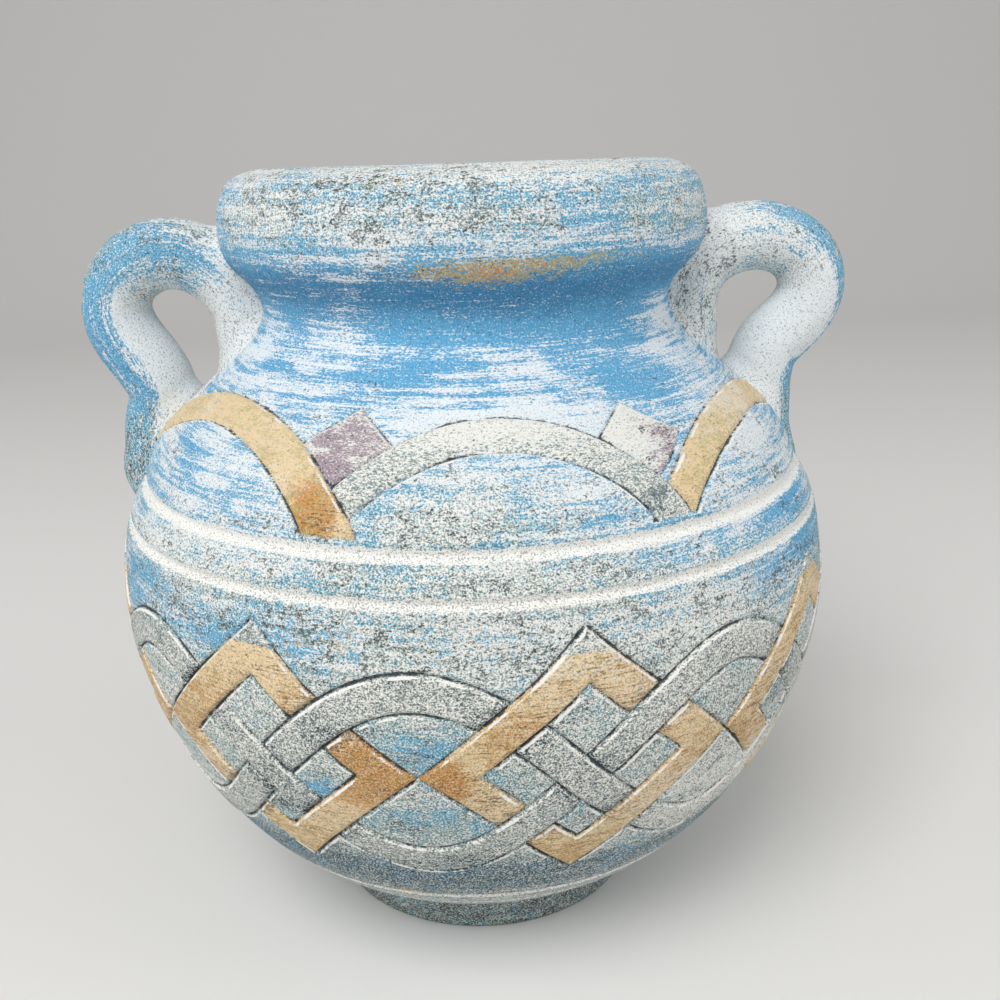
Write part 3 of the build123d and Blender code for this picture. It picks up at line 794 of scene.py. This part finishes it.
def painted_clay(paint):
    """Bisque earthenware under chalk paint: brushed in two blues, dry-brushed off-white along the
    turning, washed dark into pores and carved lines, and sanded back, so it is fully matt and gritty."""
    material = bpy.data.materials.new("sanded chalk paint on earthenware")
    material.use_nodes = True
    tree = material.node_tree
    tree.nodes.clear()
    source = paint_sources(tree)
    mixed = partial(coats, tree, source)

    # Blue and off-white, each duller where it is sanded
    sky, white = (
        add_node(tree, "ShaderNodeMix", {"Factor": source["grime"], 6: clean, 7: dull}, data_type="RGBA")
        for clean, dull in ((paint.sky, paint.shoal), (paint.pale, paint.bone)))
    blue = mixed(
        sky,
        (paint.deep, "shade", {"cloud": 0.9, "brush": 0.9, "blotch": 0.6, "grime": -0.3}, 0.10, 0.70, 1))
    # The steel blue, led by the shade field, darkens the wash mostly low on the bowl, as painted shade
    wash = mixed(
        paint.wash, (paint.steel, "shade", {"blotch": 0.9, "brush": 0.8, "grit": 0.8}, 0.35, 0.75, 1))
    # The off-white is brushed in streaks on the neck and sanded to grain on the belly
    brushed = {"cloud": 0.9, "brush": 1.5, "blotch": 0.7, "grit": 1.1, "scratch": 0.8}
    sanded = {"cloud": 0.5, "brush": 1.1, "blotch": 0.8, "grit": 1.9, "crumb": 1.4}
    source["rubbed"] = add_node(tree, "ShaderNodeMix", {
        "Factor": source["grime"], 2: summed(tree, source, "rub", brushed),
        3: summed(tree, source, "rub", sanded)})
    # Painted shadow and painted highlight of the grit: dark and light specks over the fine grain
    source["torn"] = summed(tree, source, 0.44, {"grain": -1, "grime": 0.12})
    source["bared"] = summed(tree, source, 0.44, {"grain": 1, "grime": 0.12})

    # Paints of the waving strands, the tabs, and the links and arches
    stone = mixed(
        paint.stone,
        (paint.bone, "rub", {"grit": 2.8, "blotch": 0.8, "brush": 0.5, "crumb": 0.8}, 0.38, 0.62, 1))
    stain = mixed(
        paint.bone, (paint.mauve, "warm", {"blotch": 1.3, "brush": 0.8, "grit": 1.4}, -0.10, 0.20, 0.85))
    worn = mixed(
        paint.tan,
        (paint.ochre, "warm", {"blotch": 0.9, "crumb": 1.1, "brush": 0.6, "grit": 0.9}, 0.22, 0.72, 1),
        (paint.bone, "rub", {"grit": 1.8, "blotch": 1.0, "crumb": 0.8, "warm": -0.3}, 0.55, 0.85, 0.7),
        (paint.olive, 0.40, {"cloud": 1.0, "crumb": 1.6, "grit": 1.4}, 0.38, 0.62, 0.7),
        (paint.ochre, "grime", {"scratch": 2.4, "crumb": 1.6, "cloud": 1.4}, 0.80, 1.30, 0.7),
        (paint.soot, "pepper", {"pore": 2.2, "scratch": 1.4, "grit": 0.8}, 0.56, 0.84, 0.6),
        # Painted shadow and highlight specks of the grit on the ribbons
        (paint.soot, "torn", {}, 0.54, 0.70, 0.35),
        (paint.bone, "bared", {}, 0.56, 0.72, 0.35))
    edge = {"grit": 0.9, "crumb": 1.2}
    ground = mixed(
        blue,
        (wash, "grime", {"cloud": 1.2, "blotch": 1.4, "crumb": 1.4, "grit": 0.8}, 0.42, 0.86, 0.92),
        (white, "rubbed", {}, 0.38, 0.66, 0.94),
        (paint.olive, "fleck", {"pore": 1.0, "crumb": 1.4, "grit": 0.9}, 0.42, 0.58, 0.7),
        (paint.clay, "fleck", {"pore": 2.0, "blotch": 0.5, "grit": 0.6}, 0.74, 0.86, 0.85),
        (stone, 0, {**edge, "grey": -1}, -0.2, 0.2, 0.92),
        (stain, 0, {**edge, "mauve": -1}, -0.2, 0.2, 0.92),
        # Dark wash in the pores, then the filled grooves, and the grit's painted shadow and highlight specks
        (paint.teal, "pepper", {"pore": 1.6, "blotch": 1.2, "crumb": 1.3, "grit": 0.8}, 0.54, 0.70, 0.8),
        (paint.soot, "pepper", {"pore": 2.2, "cloud": 0.4, "grit": 0.9}, 0.76, 0.86, 0.85),
        (paint.chalk, 0, {"grit": 1.6, "crumb": 1.6, "groove": -1}, -0.15, 0.25, 0.93),
        (paint.soot, "torn", {}, 0.54, 0.68, 0.55),
        (paint.chalk, "bared", {}, 0.54, 0.68, 0.65),
        (worn, 0, {**edge, "tan": -1}, -0.2, 0.2, 0.94),
        # Burrs beside the carved lines, painted white only below them, partly as a painted highlight, and
        # dark wash in the lines
        (paint.chalk, 0.24, {"blotch": 1.3, "crumb": 0.9, "grit": 0.4, "burr_and_highlight": -1}, -0.02, 0.14, 0.9),
        (paint.soot, 0.26,
         {"cloud": 0.9, "blotch": 0.7, "crumb": 0.9, "grit": 0.5, "line": -1}, -0.08, 0.12, 0.88))

    bump = add_node(tree, "ShaderNodeBump", {
        "Height": summed(tree, source, 0, {"grit": 1.0, "pore": 0.9, "scratch": 0.3}),
        "Strength": 0.8, "Distance": 0.35 * MM})
    shader = add_node(tree, "ShaderNodeBsdfPrincipled", {
        "Base Color": ground, "Roughness": 0.9, "Specular IOR Level": 0.2, "Normal": bump})
    add_node(tree, "ShaderNodeOutputMaterial", {"Surface": shader.outputs["BSDF"]})
    return material


def finish_piece(piece, node):
    """Give a piece the jar's paint, hang it on the root body, and hide the imported part of the node it
    stands for.
    """
    scene = bpy.context.scene
    material = bpy.data.materials.get("sanded chalk paint on earthenware") or painted_clay(scene.jar_paint)
    piece.data.materials.append(material)
    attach(piece, "root")
    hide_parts(node)


WALLS = {}


def jar_wall():
    """The outer surface, worked out once for each set of sizes."""
    groups = (bpy.context.scene.jar_sizes, bpy.context.scene.jar_cuts)
    key = tuple(getattr(group, name) for group in groups for name in type(group).__annotations__)
    if key not in WALLS:
        WALLS[key] = Wall(*groups)
    return WALLS[key]


class JAR_OT_foot(bpy.types.Operator):
    """Turned foot with a shallow hollow underneath"""
    bl_idname = "jar.foot"
    bl_label = "Foot"

    def execute(self, context):
        jar = context.scene.jar_sizes
        recess = jar.foot_radius - jar.foot_land
        round_off = 1.5 * MM
        corners = np.array([
            (2 * MM, jar.foot_recess), (recess - 2 * MM, jar.foot_recess),
            (recess, 0.3 * MM), (recess + 0.3 * MM, 0),
            (jar.foot_radius - round_off, 0), (jar.foot_radius - 0.4 * round_off, 0.4 * round_off),
            (jar.foot_radius, round_off), (jar.foot_radius + jar.foot_flare - 0.2 * MM, FOOT_TOP)])
        own = run_of(corners)
        runs = np.unique(np.concatenate([own, np.arange(0, own[-1], 1 * MM)]))
        # The foot's high shade, and part of its pepper, darken it as painted shade
        fields = dict(PLAIN, warm=0.0, rub=0.22, grime=0.9, pepper=0.66, fleck=0.50, shade=0.60)
        finish_piece(turned_piece("foot", read_line(corners, runs), 360, fields), "foot_ring")
        return {"FINISHED"}


class JAR_OT_lower_body(bpy.types.Operator):
    """Carved lower wall in five pieces, none with a seam at the front, and the floor between them"""
    bl_idname = "jar.lower_body"
    bl_label = "Lower body"

    def execute(self, context):
        wall, jar = jar_wall(), context.scene.jar_sizes
        top = wall.row_at(wall.levels["groove"])
        floor = FOOT_TOP + jar.floor_thickness
        seam = wall.levels["groove"] + jar.seam_bevel
        fifth = wall.columns // 5
        start = wall.column_at(-math.pi / 5)
        for place, name in enumerate(("front", "right", "back_right", "back_left", "left")):
            piece = wall.section("lower_body_" + name, 0, top, (seam, floor), start + place * fifth, fifth)
            finish_piece(piece, "lower_body")
        inner = jar.floor_flat_radius
        line = np.array([(2 * MM, FOOT_TOP), (inner, FOOT_TOP), (inner, floor), (2 * MM, floor)])
        piece = turned_piece("lower_body_floor", line, 96, {**PLAIN, **INSIDE_FIELDS})
        finish_piece(piece, "lower_body")
        return {"FINISHED"}


class JAR_OT_shoulder(bpy.types.Operator):
    """Shoulder with carved arches, in two halves"""
    bl_idname = "jar.shoulder"
    bl_label = "Shoulder"

    def execute(self, context):
        wall, jar = jar_wall(), context.scene.jar_sizes
        low, high = wall.row_at(wall.levels["groove"]), wall.row_at(wall.levels["top"])
        seams = (wall.levels["top"] + jar.seam_bevel, wall.levels["groove"] + jar.seam_bevel)
        half = wall.columns // 2
        for name, first in (("front", wall.columns // 8), ("back", wall.columns // 8 + half)):
            finish_piece(wall.section("shoulder_" + name, low, high, seams, first, half), "shoulder")
        return {"FINISHED"}


class JAR_OT_neck(bpy.types.Operator):
    """Waisted neck and the heavy rounded collar with its mouth"""
    bl_idname = "jar.neck"
    bl_label = "Neck and collar"

    def execute(self, context):
        wall, jar = jar_wall(), context.scene.jar_sizes
        low = wall.row_at(wall.levels["top"])
        seam_level = wall.levels["waist"] + jar.collar_seam_rise
        seam = wall.row_at(seam_level)
        inner_seam, inner_low = seam_level + jar.seam_bevel, wall.levels["top"] + jar.seam_bevel
        neck = wall.section("neck", low, seam, (inner_seam, inner_low), step=2)
        finish_piece(neck, "neck_ring")
        mouth_round = wall.levels["crown"] - jar.mouth_round_drop
        collar = wall.section("collar", seam, len(wall.runs) - 1, (mouth_round, inner_seam), step=2)
        finish_piece(collar, "rim_collar")
        return {"FINISHED"}


def coil_line(jar, coil, wall, loop, tail, tail_lift):
    """A coil's middle line in the plane of the handles, as (out, up, thickness share) stations."""
    top, waist = wall.levels["top"], wall.levels["waist"]
    crown = waist + coil.loop_rise - coil.coil_thickness / 2
    leg = jar.neck_radius + coil.leg_standoff
    line = [(leg + coil.loop_span * out, top + (crown - top) * up, thick) for out, up, thick in loop]
    for curve, shares in ((wall.upper, tail), (wall.belly, TAIL_END)):
        for along, off, thick, lift in shares:
            x, z = beside(curve, along, coil.coil_thickness * off)
            line.append((x + tail_lift * lift, z, thick))
    return line


class JAR_OT_handles(bpy.types.Operator):
    """Two pulled coil handles, smeared on to the collar, neck and shoulder"""
    bl_idname = "jar.handles"
    bl_label = "Handles"

    rings = 300
    sides = 128
    smoothings = 16
    end_length = 5 * MM

    def execute(self, context):
        coil = context.scene.jar_coils
        left = self.handle("coil_left", -1, LEFT_LOOP, LEFT_TAIL, coil.tail_lift_left)
        right = self.handle("coil_right", 1, RIGHT_LOOP, RIGHT_TAIL, coil.tail_lift_right)
        finish_piece(left, "handle_left")
        finish_piece(right, "handle_right")
        return {"FINISHED"}

    def handle(self, name, side, loop, tail, lift):
        """Ellipses carried along the middle line: centre + normal * thickness * cos + Y * width * sin.

        Each point is then averaged with its neighbours along the coil, which rounds the inner bends."""
        scene = bpy.context.scene
        coil, wall = scene.jar_coils, jar_wall()
        curve = smooth_line(coil_line(scene.jar_sizes, coil, wall, loop, tail, lift), self.rings)
        middle, share = curve[:, :2], curve[:, 2]
        way = directions(middle)
        run = run_of(middle)
        left = run[-1] - run
        round_end = np.sqrt(np.clip(1 - (1 - np.clip(left / self.end_length, 0, 1)) ** 2, 0.02, 1))
        around_coil = (np.arange(self.sides) / self.sides * 2 * math.pi)[None, :]
        thick = (coil.coil_thickness / 2 * share * round_end)[:, None]
        wide = (coil.coil_width / 2 * share * round_end)[:, None]
        outward = np.cos(around_coil) * thick
        x = middle[:, :1] + way[:, 1:] * -outward
        z = middle[:, 1:] + way[:, :1] * outward
        y = np.sin(around_coil) * wide
        points = np.stack([side * x, y, z], -1)
        for _ in range(self.smoothings):
            points[1:-1] = points[1:-1] / 2 + (points[:-2] + points[2:]) / 4
        points[..., 0] += side * COIL_UNEVEN * wavy(points, COIL_WAVE, 21 + side)
        points = smeared(points, middle, side, wall, coil.smear)
        if side < 0:
            points = points[:, ::-1]
        normals = grid_normals(points)
        fields = {key: np.full(points.shape[:2], FAR) for key in DISTANCES}
        fields.update(coil_paint(side, run / run[-1], points, middle))
        fields["turning"] = np.stack(np.broadcast_arrays(run[:, None], y, outward), -1)
        return grid_piece(name, points, normals, fields, loop=False, whole=True, caps=True)


def coil_paint(side, along, points, middle):
    """Where the coil is blue and where it is rubbed: pale on its inner side and its neck leg, blue and
    peppered on the outside, and on the left coil blue over the front too."""
    outside = np.hypot(points[..., 0], points[..., 2] - LOOP_CENTRE) - np.hypot(
        middle[:, 0], middle[:, 1] - LOOP_CENTRE)[:, None]
    front = -points[..., 1]
    leg = 1 - soft_step(along, 0.18, 0.34)[:, None]
    if side < 0:
        blue = soft_step(outside + 0.45 * front, -2 * MM, 6 * MM) * (1 - 0.9 * leg)
        leg_rub, leg_pepper, chips = 0.2, -0.08, 0.58
    else:
        blue = soft_step(outside - 0.1 * front, -1 * MM, 5 * MM) * (1 - leg)
        leg_rub, leg_pepper, chips = -0.04, 0.06, 0.45
    tail = soft_step(along, 0.72, 0.9)[:, None]
    limb = (soft_step(along, 0.45, 0.6) * (1 - soft_step(along, 0.75, 0.85)))[:, None]
    edge = soft_step(outside, 5 * MM, 9 * MM)
    # Greyer and less rubbed on the hole side under the crown
    under = soft_step(-outside, 2 * MM, 8 * MM) * (1 - limb) * (1 - leg) * (1 - tail)
    return {
        "warm": 0 * blue,
        "rub": 0.78 - 0.46 * blue + leg_rub * leg + (0.85 * limb - 0.2 * under) * (1 - blue),
        "grime": 0.50 - 0.10 * blue + 0.3 * tail * blue + 0.15 * edge + 0.4 * under - 0.2 * limb,
        "pepper": 0.34 + 0.04 * blue + 0.16 * tail * blue - 0.30 * limb + leg_pepper * leg,
        "fleck": chips * edge * (1 - leg),
        "shade": 0.22 + 0.15 * blue,
    }


def smeared(points, middle, side, wall, reach):
    """Spread the coil sideways where it nears the wall, as clay is smeared when a handle is luted on.

    A point at height d over the wall moves away from the coil's middle, along the wall, by
    reach * (1 - d / reach)^2 / 2."""
    out, up = wall.rise.T
    radius = np.hypot(points[..., 0], points[..., 1])
    wall_radius = np.interp(points[..., 2], up, out)
    lean = np.interp(points[..., 2], up, np.gradient(out, up))
    size = np.sqrt(1 + lean**2)
    over = (radius - wall_radius) / size
    normal = np.stack([points[..., 0] / radius / size, points[..., 1] / radius / size, -lean / size], -1)
    centre = np.stack([side * middle[:, 0], 0 * middle[:, 0], middle[:, 1]], -1)[:, None]
    away = points - centre
    away = unit(away - (away * normal).sum(-1, keepdims=True) * normal, 1e-6)
    near = np.clip(1 - np.maximum(over, 0) / reach, 0, 1) ** 2 * soft_step(over, -6 * MM, 0)
    return points + away * (near * reach / 2)[..., None]


class JAR_OT_stage(bpy.types.Operator):
    """Pale floor, soft light and the camera"""
    bl_idname = "jar.stage"
    bl_label = "Stage"

    def execute(self, context):
        scene = context.scene
        self.floor(scene)
        self.light(scene)
        self.camera(scene)
        scene.view_settings.view_transform = "Standard"
        return {"FINISHED"}

    def floor(self, scene):
        """A flat sheet that sweeps up behind the jar in a quarter circle."""
        radius, depth, half = 0.9, 1.1, 6.0
        bend = np.linspace(0, math.pi / 2, 40)
        line = np.concatenate([[(-6.0, 0.0)], np.stack(
            [depth + radius * np.sin(bend), radius * (1 - np.cos(bend))], 1), [(depth + radius, 6.0)]])
        verts = [(x, y, z) for y, z in line for x in (-half, half)]
        faces = [(2 * i, 2 * i + 1, 2 * i + 3, 2 * i + 2) for i in range(len(line) - 1)]
        mesh = bpy.data.meshes.new("floor")
        mesh.from_pydata(verts, [], faces)
        mesh.polygons.foreach_set("use_smooth", [True] * len(faces))
        material = bpy.data.materials.new("matt paper")
        material.use_nodes = True
        shader = material.node_tree.nodes["Principled BSDF"]
        shader.inputs["Base Color"].default_value = (*scene.jar_paint.floor, 1.0)
        shader.inputs["Roughness"].default_value = 0.95
        mesh.materials.append(material)
        floor = bpy.data.objects.new("floor", mesh)
        scene.collection.objects.link(floor)

    def light(self, scene):
        """An even pale room, with one large soft lamp over the front and a weaker one at each side."""
        world = bpy.data.worlds.new("pale room")
        world.use_nodes = True
        background = world.node_tree.nodes["Background"]
        background.inputs["Color"].default_value = (1, 1, 1, 1)
        background.inputs["Strength"].default_value = 0.45
        scene.world = world
        lamps = (
            ("front lamp", (-0.35, -0.80, 1.05), 0.7, 11.0),
            ("right lamp", (1.1, -0.3, 0.6), 0.8, 3.5),
            ("left lamp", (-1.2, -0.1, 0.5), 0.8, 2.2))
        for name, place, size, power in lamps:
            lamp = bpy.data.lights.new(name, "AREA")
            lamp.size, lamp.energy = size, power
            holder = bpy.data.objects.new(name, lamp)
            aim = (Vector((0, 0, 0.1)) - Vector(place)).to_track_quat("-Z", "Y")
            holder.matrix_world = Matrix.Translation(place) @ aim.to_matrix().to_4x4()
            scene.collection.objects.link(holder)

    def camera(self, scene):
        """A phone held at the height of the lip, looking down at the jar and slightly turned and rolled."""
        camera = bpy.data.cameras.new("camera")
        camera.lens, camera.sensor_width = 39.6, 36.0
        holder = bpy.data.objects.new("camera", camera)
        place = (0, -0.3122, 0.2127)
        turn_right, look_down, roll = (math.radians(angle) for angle in (-1.46, 90 - 17.42, -1.67))
        holder.matrix_world = (
            Matrix.Translation(place) @ Matrix.Rotation(turn_right, 4, "Z")
            @ Matrix.Rotation(look_down, 4, "X") @ Matrix.Rotation(roll, 4, "Z"))
        scene.collection.objects.link(holder)
        scene.camera = holder


class JAR_PT_panel(bpy.types.Panel):
    """A button for each piece, and every size and colour"""
    bl_idname = "JAR_PT_panel"
    bl_label = "Carved jar"
    bl_space_type = "VIEW_3D"
    bl_region_type = "UI"
    bl_category = "Jar"

    def draw(self, context):
        for operator in OPERATORS:
            self.layout.operator(operator.bl_idname)
        for name, group in GROUPS.items():
            box = self.layout.box()
            for key in group.__annotations__:
                box.prop(getattr(context.scene, name), key)


OPERATORS = (JAR_OT_stage, JAR_OT_foot, JAR_OT_lower_body, JAR_OT_shoulder, JAR_OT_neck, JAR_OT_handles)
GROUPS = {
    "jar_sizes": JarSizes, "jar_cuts": CarvingSizes, "jar_coils": HandleSizes, "jar_paint": PaintColours}


def register():
    for kind in (*GROUPS.values(), *OPERATORS, JAR_PT_panel):
        bpy.utils.register_class(kind)
    for name, group in GROUPS.items():
        setattr(bpy.types.Scene, name, bpy.props.PointerProperty(type=group))


def unregister():
    for name in GROUPS:
        delattr(bpy.types.Scene, name)
    for kind in (JAR_PT_panel, *OPERATORS, *reversed(GROUPS.values())):
        bpy.utils.unregister_class(kind)


def main():
    register()
    for operator in OPERATORS:
        getattr(bpy.ops.jar, operator.bl_idname.split(".")[1])()
    bpy.context.view_layer.update()


if __name__ == "__main__":
    main()
